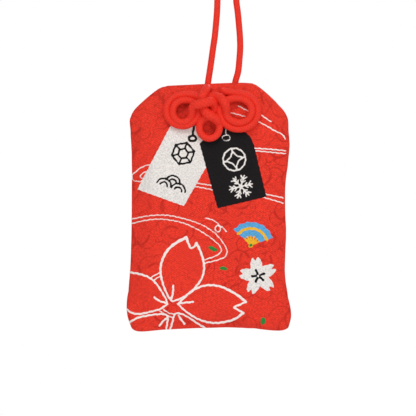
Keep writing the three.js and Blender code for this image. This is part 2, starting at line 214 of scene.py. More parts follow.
class CharmColourSettings(bpy.types.PropertyGroup):
    """Colours of the brocade"""

    ground: bpy.props.FloatVectorProperty(
        name="Ground", description="Vermilion ground of the brocade",
        default=linear(241, 59, 43), subtype="COLOR",
    )
    cloud: bpy.props.FloatVectorProperty(
        name="Cloud Line", description="Darker line round the woven clouds",
        default=linear(186, 36, 27), subtype="COLOR",
    )
    white: bpy.props.FloatVectorProperty(
        name="White Weft", description="White thread",
        default=linear(243, 237, 232), subtype="COLOR",
    )
    line: bpy.props.FloatVectorProperty(
        name="White Line", description="Brighter thread of the drawn lines",
        default=linear(255, 238, 233), subtype="COLOR",
    )
    black: bpy.props.FloatVectorProperty(
        name="Black Weft", description="Black thread",
        default=linear(13, 10, 12), subtype="COLOR",
    )
    blue: bpy.props.FloatVectorProperty(
        name="Blue Weft", description="Blue thread",
        default=linear(93, 173, 226), subtype="COLOR",
    )
    yellow: bpy.props.FloatVectorProperty(
        name="Yellow Weft", description="Yellow thread",
        default=linear(252, 189, 45), subtype="COLOR",
    )
    green: bpy.props.FloatVectorProperty(
        name="Green Weft", description="Green thread",
        default=linear(46, 138, 62), subtype="COLOR",
    )


class CharmStageSettings(bpy.types.PropertyGroup):
    """Camera and light"""

    view_width: bpy.props.FloatProperty(
        name="View Width", description="Width of the picture at the charm",
        default=127.34 * MM, unit="LENGTH",
    )
    distance: bpy.props.FloatProperty(
        name="Distance", description="From the camera to the charm", default=0.8, unit="LENGTH"
    )
    key: bpy.props.FloatProperty(
        name="Key Light", description="Power of the large lamp above the camera",
        default=3.5, unit="POWER",
    )
    room: bpy.props.FloatProperty(
        name="Room Light", description="Strength of the even light all round", default=0.43
    )
    floor_drop: bpy.props.FloatProperty(
        name="Floor Drop", description="From the bottom of the charm to the floor",
        default=0.13, unit="LENGTH",
    )


class Wire:
    """A node's output, which sums and products turn into Math nodes."""

    def __init__(self, nodes, socket):
        self.nodes = nodes
        self.socket = socket

    def maths(self, operation, first, second=0.0):
        return self.nodes.node("Math", {0: first, 1: second}, operation=operation)

    def __add__(self, other):
        return self.maths("ADD", self, other)

    def __sub__(self, other):
        return self.maths("SUBTRACT", self, other)

    def __rsub__(self, other):
        return self.maths("SUBTRACT", other, self)

    def __mul__(self, other):
        return self.maths("MULTIPLY", self, other)

    def __truediv__(self, other):
        return self.maths("DIVIDE", self, other)

    def sine(self):
        return self.maths("SINE", self)

    def larger(self, other):
        return self.maths("MAXIMUM", self, other)

    def clamped(self):
        return self.nodes.node("Clamp", {"Value": self})

    __radd__ = __add__


class Nodes:
    """A node tree, filled by one method."""

    def __init__(self, tree):
        self.tree = tree
        tree.nodes.clear()

    def node(self, kind, inputs=None, out=0, **settings):
        made = self.tree.nodes.new("ShaderNode" + kind)
        for key, value in settings.items():
            setattr(made, key, value)
        for key, value in (inputs or {}).items():
            if isinstance(value, Wire):
                self.tree.links.new(value.socket, made.inputs[key])
            else:
                made.inputs[key].default_value = value
        return Wire(self, made.outputs[out]) if len(made.outputs) else None

    def outputs(self, wire, names):
        """Outputs of the node that a wire comes from."""
        return [Wire(self, wire.socket.node.outputs[name]) for name in names]


class Finish(Nodes):
    """One node material with a Principled shader."""

    def __init__(self, name):
        self.material = bpy.data.materials.new(name)
        self.material.use_nodes = True
        super().__init__(self.material.node_tree)

    def place(self):
        """Object coordinates in millimetres."""
        here = self.node("TexCoord", out="Object")
        return self.node("VectorMath", {0: here, "Scale": 1 / MM}, operation="SCALE")

    def axes(self, vector):
        return self.outputs(self.node("SeparateXYZ", {0: vector}), "XYZ")

    def attribute(self, name):
        return self.node("Attribute", out="Fac", attribute_name=name)

    def noise(self, place, scale, detail, **more):
        return self.node("TexNoise", {"Vector": place, "Scale": scale, "Detail": detail, **more})

    def bump(self, height, strength, distance):
        return self.node("Bump", {"Strength": strength, "Distance": distance, "Height": height})

    def mix(self, share, first, second):
        return self.node("Mix", {0: share, 6: first, 7: second}, out=2, data_type="RGBA")

    def close(self, **inputs):
        """The finished material, from the Principled shader's inputs."""
        named = {key.replace("_", " "): value for key, value in inputs.items()}
        self.node("OutputMaterial", {0: self.node("BsdfPrincipled", named)})
        return self.material


def rgba(colour):
    return (*colour, 1.0)


def tinted(colour, *shares):
    """The colour, darker or lighter by each share."""
    return [tuple(min(1.0, part * share) for part in colour) + (1.0,) for share in shares]


def to_frame(points):
    """Metres in the frame, from rows of millimetres: across, away from the viewer, up from the mouth."""
    return np.asarray(points, float) * MM + np.array(MOUTH)


def resample(points, count):
    """The same line as evenly spaced points."""
    along = np.concatenate([[0], np.cumsum(np.linalg.norm(np.diff(points, axis=0), axis=1))])
    wanted = np.linspace(0, along[-1], count)
    return np.column_stack([np.interp(wanted, along, column) for column in points.T])


def smooth_curve(points, steps=16):
    """Centripetal Catmull-Rom curve through the points."""
    given = np.asarray(points, float)
    given = np.vstack([2 * given[0] - given[1], given, 2 * given[-1] - given[-2]])
    share = np.linspace(0, 1, steps, endpoint=False)[:, None]
    pieces = []
    for a, b, c, d in zip(given, given[1:], given[2:], given[3:]):
        before, here, after = (
            max(np.linalg.norm(q - p), 1e-6) ** 0.5 for p, q in ((a, b), (b, c), (c, d))
        )
        leave = ((b - a) / before - (c - a) / (before + here)) * here + (c - b)
        arrive = ((d - c) / after - (d - b) / (here + after)) * here + (c - b)
        square, cube = share**2, share**3
        pieces.append(
            (2 * cube - 3 * square + 1) * b
            + (cube - 2 * square + share) * leave
            + (3 * square - 2 * cube) * c
            + (cube - square) * arrive
        )
    return np.vstack([*pieces, given[-2:-1]])


def curve_length(points):
    return float(np.linalg.norm(np.diff(points, axis=0), axis=1).sum())


def smoothstep(low, high, value):
    share = np.clip((value - low) / (high - low), 0, 1)
    return share * share * (3 - 2 * share)


def line_distance(places, line, closed=False):
    """Distance of each place to a line; a third column of the line is its half width, taken off."""
    line = np.asarray(line, float)
    if closed:
        line = np.vstack([line, line[:1]])
    least = np.full(len(places), np.inf)
    for a, b in zip(line, line[1:]):
        step = b[:2] - a[:2]
        span = max(float(step @ step), 1e-12)
        share = np.clip(((places - a[:2]) @ step) / span, 0, 1)
        apart = np.hypot(*(places - a[:2] - share[:, None] * step).T)
        if len(a) > 2:
            apart = apart - (a[2] + share * (b[2] - a[2]))
        np.minimum(least, apart, out=least)
    return least


def area_distance(places, corners):
    """Signed distance to a polygon, negative inside."""
    corners = np.asarray(corners, float)
    inside = np.zeros(len(places), bool)
    x, z = places.T
    for (ax, az), (bx, bz) in zip(corners, np.roll(corners, -1, axis=0)):
        crossing = (az > z) != (bz > z)
        with np.errstate(divide="ignore", invalid="ignore"):
            inside ^= crossing & (x < (bx - ax) * (z - az) / (bz - az) + ax)
    return np.where(inside, -1, 1) * line_distance(places, corners, closed=True)


def new_piece(name, vertices, faces):
    mesh = bpy.data.meshes.new(name)
    mesh.from_pydata([tuple(v) for v in vertices], [], faces)
    mesh.update()
    piece = bpy.data.objects.new(name, mesh)
    bpy.context.scene.collection.objects.link(piece)
    bpy.ops.object.select_all(action="DESELECT")
    piece.select_set(True)
    bpy.context.view_layer.objects.active = piece
    return piece


def coordinates(piece):
    flat = np.empty(len(piece.data.vertices) * 3)
    piece.data.vertices.foreach_get("co", flat)
    return flat.reshape(-1, 3)


def set_coordinates(piece, places):
    piece.data.vertices.foreach_set("co", np.ascontiguousarray(places, float).ravel())
    piece.data.update()


def add_attribute(piece, name, values):
    layer = piece.data.attributes.new(name, "FLOAT", "POINT")
    layer.data.foreach_set("value", np.ascontiguousarray(values, np.float32))


CORD_SIDES = 30
RING_STEP = 0.16 * MM
LEAST_RINGS = 12
END_CAP_RINGS = 5
# A direction that no cord starts along.
FIRST_SIDE = (0.31, 0.87, 0.37)


def braid_height(first, second):
    """Height of a plain braid of two families of strands, from 0 between strands to 1 on them."""
    over = (np.floor(first) + np.floor(second)) % 2 < 1
    across = np.where(over, first, second) % 1
    along = np.where(over, second, first) % 1
    dome = np.sqrt(np.clip(1 - (2 * across - 1) ** 2, 0, 1))
    return dome * (0.5 + 0.5 * np.sin(np.pi * along))


def carried_normals(tangents):
    """A normal for each tangent of a line, carried along it without twist."""
    normal = np.cross(tangents[0], FIRST_SIDE)
    normals = np.empty_like(tangents)
    for i, tangent in enumerate(tangents):
        normal = normal - tangent * (normal @ tangent)
        normal /= np.linalg.norm(normal)
        normals[i] = normal
    return normals


def tube_faces(count):
    """Faces of a tube of rings, closed at each end round a vertex after the last ring."""
    ring = np.arange(CORD_SIDES)
    following = np.roll(ring, -1)
    faces = []
    for low in range(0, (count - 1) * CORD_SIDES, CORD_SIDES):
        high = low + CORD_SIDES
        faces += np.column_stack([low + ring, low + following, high + following, high + ring]).tolist()
    first, end = count * CORD_SIDES, (count - 1) * CORD_SIDES
    faces += [(first, int(b), int(a)) for a, b in zip(ring, following)]
    faces += [(first + 1, int(end + a), int(end + b)) for a, b in zip(ring, following)]
    return faces


def braided_cord(name, route, diameter, settings, spread=None):
    """Closed tube of braided cord along a route in metres, wider by spread(centres)."""
    count = max(LEAST_RINGS, int(round(curve_length(route) / RING_STEP)))
    centres = resample(np.asarray(route, float), count)
    tangents = np.gradient(centres, axis=0)
    tangents /= np.linalg.norm(tangents, axis=1)[:, None]
    normals = carried_normals(tangents)
    sideways = np.cross(tangents, normals)
    angle = np.arange(CORD_SIDES) / CORD_SIDES
    along = np.linspace(0, curve_length(centres), count)[:, None] / settings.braid_length
    height = braid_height(settings.strands * angle + along, settings.strands * angle - along)
    radius = diameter / 2 - settings.relief * (1 - height)
    if spread:
        radius *= spread(centres)[:, None]
    for k in range(END_CAP_RINGS):
        share = math.sqrt(1 - (1 - (k + 0.5) / END_CAP_RINGS) ** 2)
        radius[k] *= share
        radius[-1 - k] *= share
    cos, sin = (wave(2 * np.pi * angle)[None, :, None] for wave in (np.cos, np.sin))
    out = cos * normals[:, None] + sin * sideways[:, None]
    rings = (centres[:, None] + radius[..., None] * out).reshape(-1, 3)
    piece = new_piece(name, np.vstack([rings, centres[:1], centres[-1:]]), tube_faces(count))
    piece.data.shade_smooth()
    add_attribute(piece, "strand", np.concatenate([height.ravel(), [0.5, 0.5]]))
    return piece


def cord_finish(settings):
    """Braided silk-like cord: painted shade between the strands, painted light on their crests, with fine fibres.
    """
    name = "braided_cord"
    if name in bpy.data.materials:
        return bpy.data.materials[name]
    finish = Finish(name)
    place = finish.place()
    strand = finish.attribute("strand")
    fibre = finish.noise(place, 5.0, 3.0)
    patch = finish.noise(place, 0.45, 1.0)
    # Painted shade in the grooves between the strands and painted light on the strand crests, from the braid's
    # height, mixed with the fibres' own tone.
    painted_groove_shade, painted_crest_light, worn = tinted(settings.colour, 0.7, 1.09, 0.84)
    colour = finish.mix((strand * 0.85 + fibre * 0.45 - 0.1).clamped(), painted_groove_shade, painted_crest_light)
    colour = finish.mix((patch - 0.5) * 0.5 + 0.1, colour, worn)
    return finish.close(
        Base_Color=colour,
        Roughness=0.72 - strand * 0.14,
        Normal=finish.bump(fibre, 0.35, 0.05 * MM),
        Sheen_Weight=0.1,
        Sheen_Roughness=0.4,
        Sheen_Tint=rgba(settings.colour),
        Specular_IOR_Level=0.2,
    )


# Where the strands end, across, and how much of the pocket they reach down.
LEFT_END = -0.3
RIGHT_END = 7.9
END_DEPTH = 0.75
CROWN_POINTS = 9
ROUTE_STEP = 0.4


class CHARM_OT_hanging_cord(bpy.types.Operator):
    """Make the braided cord loop that the charm hangs by"""

    bl_idname = "charm.hanging_cord"
    bl_label = "Hanging Cord"

    def execute(self, context):
        settings = context.scene.charm_cord
        depth = END_DEPTH * context.scene.charm_pouch.pocket_depth / MM
        middle, top, radius = (v / MM for v in (-MOUTH.x, settings.loop_height, settings.crown_radius))
        turn = np.linspace(np.pi, 0, CROWN_POINTS)
        crown = np.column_stack([middle + radius * np.cos(turn), top - radius + radius * np.sin(turn)])
        plan = [(LEFT_END, -depth), *STRAND_LEFT, *crown.tolist(), *STRAND_RIGHT, (RIGHT_END, -depth)]
        route = smooth_curve([(x, 0, z) for x, z in plan])
        route = to_frame(resample(route, int(curve_length(route) / ROUTE_STEP)))
        cord = braided_cord("hanging_cord", route, settings.diameter, settings)
        cord.data.materials.append(cord_finish(settings))
        SWING_Z + 3.5 * MM
        SWING_Z - 0.8 * MM
        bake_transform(cord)
        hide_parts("hanging_loop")
        return {"FINISHED"}


ACROSS_SHOULDER = 11
ACROSS_MOUTH = 22
ACROSS = 2 * ACROSS_SHOULDER + ACROSS_MOUTH
DOWN = 66
CROWN_FULLNESS = 2.2
RIM_HALF = 0.75
MOUTH_SPREAD = 5.0
MOUTH_DEPTH = 9.0
MOUTH_LIP = -0.6
LIP_DEPTH = 2.0
CLOTH_WALL = 0.55
LEAST_GAP = 0.08
POCKET_DROPS = (0.12, 0.5, 1)
CLOTH_FRAMES = 16
# Metres for each millimetre of the pouch while its cloth moves, a size that is stable.
CLOTH_SCALE = 0.02
CLOTH = {
    "quality": 6,
    "mass": 0.3,
    "tension_stiffness": 15,
    "compression_stiffness": 15,
    "shear_stiffness": 5,
    "bending_stiffness": 0.25,
    "use_pressure": True,
}


def pouch_edges():
    """Evenly spaced points on the edges of the pouch: left and right from the foot up, foot, top."""
    top = np.vstack([
        resample(smooth_curve(LEFT_SHOULDER_EDGE), ACROSS_SHOULDER + 1),
        resample(smooth_curve(MOUTH_EDGE), ACROSS_MOUTH + 1)[1:],
        resample(smooth_curve(RIGHT_SHOULDER_EDGE), ACROSS_SHOULDER + 1)[1:],
    ])
    foot = resample(smooth_curve(FOOT_EDGE), ACROSS + 1)
    left = resample(smooth_curve(LEFT_SIDE), DOWN + 1)[::-1]
    right = resample(smooth_curve(RIGHT_SIDE), DOWN + 1)[::-1]
    return left, right, foot, top


def pouch_plan():
    """Grid of places over the pouch, rows from the foot up, and its outline."""
    left, right, foot, top = pouch_edges()
    s = np.linspace(0, 1, ACROSS + 1)[None, :, None]
    t = np.linspace(0, 1, DOWN + 1)[:, None, None]
    ruled = (1 - t) * foot[None] + t * top[None] + (1 - s) * left[:, None] + s * right[:, None]
    corners = (
        (1 - s) * (1 - t) * foot[0] + s * (1 - t) * foot[-1] + (1 - s) * t * top[0] + s * t * top[-1]
    )
    outline = np.vstack([foot[:-1], right[:-1], top[::-1][:-1], left[::-1][:-1]])
    return ruled - corners, outline


def cloth_height(places, outline, settings):
    """Half the pouch's thickness at each place, in millimetres."""
    apart = line_distance(places, outline, closed=True)
    rise = 1 - (1 - np.clip(apart * MM / settings.edge_reach, 0, 1)) ** CROWN_FULLNESS
    fold = np.sqrt(np.clip(1 - (1 - np.clip(apart * MM / settings.fold_radius, 0, 1)) ** 2, 0, 1))
    x, z = places.T
    across = smoothstep(0, MOUTH_SPREAD, RIGHT_MOUTH[0] - np.abs(x))
    opening = across * smoothstep(-MOUTH_DEPTH, MOUTH_LIP, z)
    edge = RIM_HALF + (settings.mouth_opening / 2 / MM + CLOTH_WALL - RIM_HALF) * opening
    lip = across * smoothstep(-LIP_DEPTH, MOUTH_LIP, z)
    crown = settings.thickness / 2 / MM
    return (edge + (crown - edge) * rise) * (fold + (1 - fold) * lip)


def pocket_chain(vertices, front, back, depth):
    """New vertices down the inside of the mouth and up again, between its front and back lips."""
    x, y, z = vertices[front]
    inner = min(y + CLOTH_WALL, -LEAST_GAP)
    chain = [front]
    for side, drops in ((1, POCKET_DROPS), (-1, POCKET_DROPS[::-1])):
        for drop in drops:
            chain.append(len(vertices))
            vertices.append((x, side * inner, z - drop * depth))
    return [*chain, back]


def pouch_mesh(settings):
    """Closed coarse mesh of the pouch with a pocket at its mouth, and the vertices to hold."""
    grid, outline = pouch_plan()
    rows, columns = grid.shape[:2]
    places = grid.reshape(-1, 2)
    height = cloth_height(places, outline, settings)
    vertices = [(x, -h, z) for (x, z), h in zip(places, height)]
    front = np.arange(rows * columns).reshape(rows, columns)
    back = front.copy()
    opening = range(ACROSS_SHOULDER + 1, ACROSS_SHOULDER + ACROSS_MOUTH)
    for row in range(rows):
        for column in range(columns):
            rim = row in (0, rows - 1) or column in (0, columns - 1)
            is_mouth = row == rows - 1 and column in opening
            x, y, z = vertices[front[row, column]]
            if is_mouth or not rim:
                back[row, column] = len(vertices)
                vertices.append((x, -y, z))
            else:
                vertices[front[row, column]] = (x, 0.0, z)
    held = {int(i) for i in np.concatenate([front[0], front[-1], front[:, 0], front[:, -1], back[-1]])}
    faces = []
    for row in range(rows - 1):
        for column in range(columns - 1):
            around = [(row, column), (row, column + 1), (row + 1, column + 1), (row + 1, column)]
            faces.append([int(front[p]) for p in around])
            faces.append([int(back[p]) for p in reversed(around)])
    chains = []
    for column in range(opening.start - 1, opening.stop + 1):
        chain = [int(front[-1, column])]
        if column in opening:
            chain = pocket_chain(vertices, chain[0], int(back[-1, column]), settings.pocket_depth / MM)
        held.update(chain)
        chains.append(chain)
    for left, right in zip(chains, chains[1:]):
        for k in range(max(len(left), len(right)) - 1):
            corners = ((left, k), (right, k), (right, k + 1), (left, k + 1))
            face = list(dict.fromkeys(chain[min(at, len(chain) - 1)] for chain, at in corners))
            if len(face) > 2:
                faces.append(face)
    return vertices, faces, sorted(held)


def relax_cloth(piece, held, settings):
    """Let the cloth swell and pucker over its padding, with its seams held, by a short simulation."""
    start = coordinates(piece)
    set_coordinates(piece, start * CLOTH_SCALE)
    group = piece.vertex_groups.new(name="held")
    group.add(held, 1.0, "REPLACE")
    cloth = piece.modifiers.new("Cloth", "CLOTH")
    for key, value in CLOTH.items():
        setattr(cloth.settings, key, value)
    cloth.settings.uniform_pressure_force = settings.pressure
    cloth.settings.shrink_min = -settings.slack
    cloth.settings.vertex_group_mass = group.name
    cloth.settings.effector_weights.gravity = 0
    cloth.collision_settings.use_collision = False
    cloth.point_cache.frame_start = 1
    cloth.point_cache.frame_end = CLOTH_FRAMES
    for step in range(1, CLOTH_FRAMES + 1):
        bpy.context.scene.frame_set(step)
    bpy.ops.object.modifier_apply(modifier=cloth.name)
    bpy.context.scene.frame_set(1)
    piece.vertex_groups.clear()
    move = coordinates(piece) / CLOTH_SCALE - start
    size = np.linalg.norm(move, axis=1)
    cap = settings.most_move / MM
    move *= (cap * np.tanh(size / cap) / np.maximum(size, 1e-9))[:, None]
    set_coordinates(piece, start + move)


# Farther away than any woven edge can matter, in millimetres.
FAR = 9.0
CLOUD_SEED = 11
CLOUD_STEP = (13.0, 8.4)
CLOUDS_ACROSS = (-36, 37)
CLOUDS_UP = (-80, 6)
CLOUD_FAR = 2.0
PLAIN_TONE = 0.3
CLOUD_SIZES = (0.85, 1.15)
CLOUD_JITTER = 2.0
LOBE_SIZES = (0.9, 1.15)
LOBE_JITTER = 0.6
CURL_RADIUS = 0.97
CURL_REACH = 0.35
# Lobes of a cloud: across, up and radius.
CLOUD_LOBES = [
    (-4.9, -0.8, 2.7), (4.8, -0.9, 2.6), (-1.9, 1.0, 3.3), (2.3, 0.7, 3.0), (0.2, -1.8, 2.8),
]


def cloud_weave(places):
    """Clouds of round lobes: distance from the nearest line round a cloud, and each cloud's tone."""
    chance = np.random.RandomState(CLOUD_SEED)
    edge = np.full(len(places), CLOUD_FAR)
    tone = np.full(len(places), PLAIN_TONE)
    spots = [
        (x + (row % 2) * CLOUD_STEP[0] / 2, z)
        for row, z in enumerate(np.arange(*CLOUDS_UP, CLOUD_STEP[1]))
        for x in np.arange(*CLOUDS_ACROSS, CLOUD_STEP[0])
    ]
    for k in chance.permutation(len(spots)):
        centre = np.array(spots[k]) + chance.uniform(-CLOUD_JITTER, CLOUD_JITTER, 2)
        size, flip = chance.uniform(*CLOUD_SIZES), chance.choice((-1, 1))
        inward = np.full(len(places), -FAR)
        curl = np.full(len(places), FAR)
        for across, up, radius in CLOUD_LOBES:
            middle = centre + size * np.array((across * flip, up))
            offset = places - (middle + chance.uniform(-LOBE_JITTER, LOBE_JITTER, 2))
            reach = radius * size * chance.uniform(*LOBE_SIZES)
            apart = np.hypot(*offset.T)
            np.maximum(inward, reach - apart, out=inward)
            start = chance.uniform(0, 2 * np.pi)
            facing = offset @ np.array((math.cos(start), math.sin(start)))
            arc = np.where(facing > CURL_REACH * apart, np.abs(apart - CURL_RADIUS * reach), FAR)
            np.minimum(curl, arc, out=curl)
        inside = inward > 0
        edge[inside] = np.minimum(inward, curl)[inside]
        tone[inside] = chance.uniform()
    return edge, tone


LINE_HALF = 0.175
STAMEN_HALF = 0.29


def turned(points, centre, degrees, size=1.0):
    """Points scaled, turned about zero and moved to a centre; columns after the second are kept."""
    points = np.asarray(points, float)
    angle = math.radians(degrees)
    cos, sin = math.cos(angle) * size, math.sin(angle) * size
    x = centre[0] + points[:, 0] * cos - points[:, 1] * sin
    z = centre[1] + points[:, 0] * sin + points[:, 1] * cos
    return np.column_stack([x, z, points[:, 2:]])


def circle(radius, count=48):
    angle = np.linspace(0, 2 * np.pi, count, endpoint=False)
    return radius * np.column_stack([np.cos(angle), np.sin(angle)])


def stroke(points, half=LINE_HALF):
    """A smooth line with its half width in the third column."""
    rows = [(*p[:2], p[2] if len(p) > 2 else half) for p in points]
    return smooth_curve(rows, 8)


# Drawn lines of the brocade. A third number is half the width of the line there.
RIBBONS = [
    [(9.1, -6.95), (11.8, -8.35), (16.0, -9.8), (19.1, -11.85)],
    [(6.8, -9.05), (10.7, -10.1), (15.5, -11.9), (20.0, -14.4), (22.8, -15.9), (23.5, -17.1)],
    [(12.0, -19.7), (14.4, -19.9), (19.0, -20.2), (23.6, -20.6)],
    [(12.0, -20.5), (14.6, -20.7), (19.0, -21.1), (23.6, -21.5)],
    [(15.5, -33.3), (17.6, -33.9), (20.5, -34.5), (22.8, -35.0)],
    [(15.5, -34.4), (17.4, -35.0), (20.5, -35.9), (22.8, -36.6)],
    [(-4.5, -30.4), (-3.2, -30.6), (-1.0, -30.9), (2.0, -31.4)],
    [(-5.0, -31.3), (-3.7, -31.6), (-1.0, -32.1), (2.0, -32.7)],
    [(-17.2, -24.7), (-20.0, -25.5), (-22.2, -27.0), (-23.4, -28.3), (-22.8, -29.7), (-20.0, -29.9),
     (-18.5, -29.5)],
    [(-18.2, -26.8), (-20.2, -27.6), (-20.8, -28.6), (-19.8, -29.2), (-18.0, -29.3)],
    [(-24.0, -41.6), (-18.2, -40.5), (-12.9, -40.3), (-7.3, -41.4), (-2.3, -43.1), (1.9, -45.7),
     (4.6, -48.9), (5.7, -51.2), (5.1, -52.9), (2.9, -53.9), (-1.0, -54.9)],
    [(-24.0, -43.0), (-19.8, -42.0), (-16.0, -41.5), (-12.2, -41.7), (-7.3, -42.8), (-3.0, -44.8),
     (1.0, -47.4), (3.7, -50.0), (3.9, -51.2), (2.4, -52.6), (-1.0, -53.8)],
    [(-0.9, -41.2), (1.0, -41.6), (2.6, -42.6), (3.6, -44.0), (3.4, -45.2), (2.5, -45.2),
     (2.0, -44.3), (2.8, -43.5), (4.2, -43.9), (5.5, -45.4)],
    [(-14.9, -57.9), (-16.2, -58.5), (-17.6, -59.4)],
    [(-14.7, -59.0), (-15.6, -59.4), (-16.8, -60.3)],
    [(-14.1, -68.7), (-12.0, -70.1), (-10.2, -70.5)],
    [(-14.9, -69.4), (-13.0, -70.6), (-10.7, -71.7)],
]

PETALS = [
    [(-10.7, -66.5, 0.26), (-11.3, -66.3, 0.26), (-11.95, -65.5, 0.26), (-13.0, -63.4, 0.28),
     (-14.1, -60.3, 0.3), (-14.6, -56.7, 0.32), (-13.9, -53.6, 0.35), (-12.3, -50.8, 0.38),
     (-9.5, -48.5, 0.42), (-6.7, -47.1, 0.45)],
    [(-6.7, -47.1, 0.42), (-6.0, -49.1, 0.32), (-5.4, -50.2, 0.3), (-4.4, -50.0, 0.3),
     (-3.6, -48.8, 0.36)],
    [(-3.6, -48.8, 0.36), (-2.5, -51.1, 0.34), (-1.6, -53.9, 0.33), (-1.3, -56.4, 0.32),
     (-1.9, -59.2, 0.3), (-3.5, -61.7, 0.28), (-5.6, -63.8, 0.27), (-8.1, -65.5, 0.26),
     (-10.7, -66.5, 0.26)],
    [(-9.3, -67.3, 0.26), (-7.4, -65.5, 0.27), (-4.6, -63.2, 0.28), (-1.8, -61.9, 0.31),
     (1.1, -61.6, 0.33), (3.9, -62.1, 0.33), (6.6, -63.3, 0.35), (9.3, -64.95, 0.37),
     (11.35, -66.65, 0.39)],
    [(11.35, -66.65, 0.34), (9.5, -67.6, 0.29), (7.85, -68.3, 0.29), (9.2, -69.2, 0.31),
     (10.65, -70.1, 0.37)],
    [(10.65, -70.1, 0.37), (7.9, -72.05, 0.35), (5.2, -72.85, 0.33), (2.5, -73.2, 0.32),
     (-0.4, -72.9, 0.31), (-2.8, -72.1, 0.29), (-5.3, -70.7, 0.27), (-7.7, -68.9, 0.26),
     (-9.3, -67.3, 0.26)],
    [(-24.0, -57.8, 0.3), (-21.8, -58.1, 0.3), (-18.6, -59.0, 0.29), (-16.2, -60.8, 0.28),
     (-14.1, -63.8, 0.27), (-12.8, -66.2, 0.26), (-12.5, -67.4, 0.26)],
    [(-12.5, -67.4, 0.26), (-14.8, -68.9, 0.27), (-17.6, -69.7, 0.28), (-20.7, -70.4, 0.3),
     (-23.2, -70.2, 0.3), (-24.8, -69.2, 0.3)],
    [(-24.3, -73.2, 0.3), (-21.8, -71.7, 0.29), (-19.0, -71.0, 0.28), (-15.5, -70.5, 0.27),
     (-13.2, -70.6, 0.26), (-12.4, -71.3, 0.26), (-12.6, -73.3, 0.27), (-12.9, -75.4, 0.28)],
    [(-11.7, -75.3, 0.28), (-10.9, -72.6, 0.27), (-10.2, -70.4, 0.26), (-8.4, -70.3, 0.26),
     (-6.0, -71.5, 0.27), (-3.2, -73.4, 0.28), (-1.0, -74.8, 0.3)],
]
# Outlines of the petals that have no clouds on them, from the lines above.
PLAIN_PETALS = [
    [p[:2] for line in group for p in PETALS[line][:-1]] for group in ((0, 1, 2), (3, 4, 5), (6, 7))
]
STAMENS = [
    [(-10.7, -61.8), (-10.8, -63.8), (-11.2, -65.6)],
    [(-16.5, -65.3), (-15.1, -66.3), (-13.2, -67.0)],
    [(-4.6, -66.7), (-6.7, -66.9), (-8.6, -67.1)],
    [(-14.9, -74.0), (-13.9, -72.7), (-13.0, -71.9)],
    [(-9.1, -70.9), (-8.4, -72.0), (-7.3, -73.5)],
]
SMALL_BLOSSOM = (15.2, -58.8)
SMALL_RADIUS = 5.55
SMALL_TURN = 101
SMALL_COUNT = 5
# One petal of the small blossom, in its radius, and the directions of its stamens.
SMALL_PETAL = [
    (0.46, -0.33), (0.68, -0.33), (0.9, -0.28), (1.05, -0.15), (0.82, -0.02), (1.06, 0.11),
    (0.91, 0.24), (0.68, 0.31),
]
SMALL_STAMENS = (112, 22, -40, -114, 182)
WHITE_TAG = [
    (-11.3, -12.6), (-21.7, -32.4), (-7.5, -37.5), (2.2, -20.6), (-0.9, -17.0), (-2.4, -14.6),
    (-4.5, -12.5),
]
BLACK_TAG = [
    (-1.5, -17.2), (-2.7, -18.5), (2.8, -38.2), (17.7, -34.7), (13.8, -18.6), (12.7, -16.2),
    (11.1, -15.0), (4.3, -13.2),
]
# Specks: middle, turn in degrees, and half their length and width.
SPECKS = [((1.35, -50.5), -24, 1.5, 0.62), ((4.6, -56.5), -10, 1.2, 0.55), ((16.7, -72.6), 80, 1.1, 0.78)]
FAN_PIVOT = (12.9, -49.4)
FAN_RADIUS = 7.2
FAN_INNER = 0.36
FAN_BAND = 0.72
FAN_BAND_HALF = 0.42
FAN_TURN = 78.0
FAN_HALF = 60.0
FAN_PLEAT = 20.0
PLEAT_DEPTH = 0.035
FAN_STICK = [(-0.5, 0, 0.3), (0.38 * FAN_RADIUS, 0, 0.26)]
FAN_STICKS = 6
FAN_STICK_REACH = 0.9
FAN_RIVET = 0.5
# Waves of a woven edge: size in millimetres, then radians per millimetre for its two sines.
WOBBLES = ((0.06, 3.9, 0.7, 3.6, 0.9), (0.03, 9.4, 1.3, 8.1, 1.9))


def ring_line(radius, half, centre, degrees=0.0, count=48, wide=1.0):
    line = circle(radius, count) * (wide, 1.0)
    line = np.vstack([line, line[:1]])
    return turned(np.column_stack([line, np.full(len(line), half)]), centre, degrees)


def spokes(inner, outer, half, centre, degrees, count):
    spoke = [(inner, 0, half), (outer, 0, half)]
    return [turned(spoke, centre, degrees + 360 * k / count) for k in range(count)]


def wave_scales(centre, degrees, radius, half):
    """Round waves, one above two, each of two arcs about one middle."""
    reach = np.radians(np.linspace(8, 172, 25))
    lines = []
    for middle in ((0, 0.75 * radius), (-radius, 0), (radius, 0)):
        for share in (0.98, 0.5):
            arc = share * radius * np.column_stack([np.cos(reach), np.sin(reach)]) + middle
            lines.append(turned(np.column_stack([arc, np.full(len(arc), half)]), centre, degrees))
    return lines


def white_tag_figures():
    """Black woven figures of the white tag: ring and string, tortoise-shell hexagon, round waves."""
    tilt, string = -20.0, 0.36
    hexagon, inner, outer = (-7.7, -21.5), 1.6, 3.5
    return [
        stroke([(-4.1, -11.5), (-4.4, -13.4), (-4.8, -15.7)], string),
        ring_line(0.82, string, (-4.85, -16.9), wide=1.38),
        *(ring_line(radius, 0.29, hexagon, tilt + 30, 6) for radius in (inner, outer)),
        *spokes(inner, outer, 0.27, hexagon, tilt + 30, 6),
        *wave_scales((-11.5, -32.1), tilt, 2.3, 0.27),
    ]


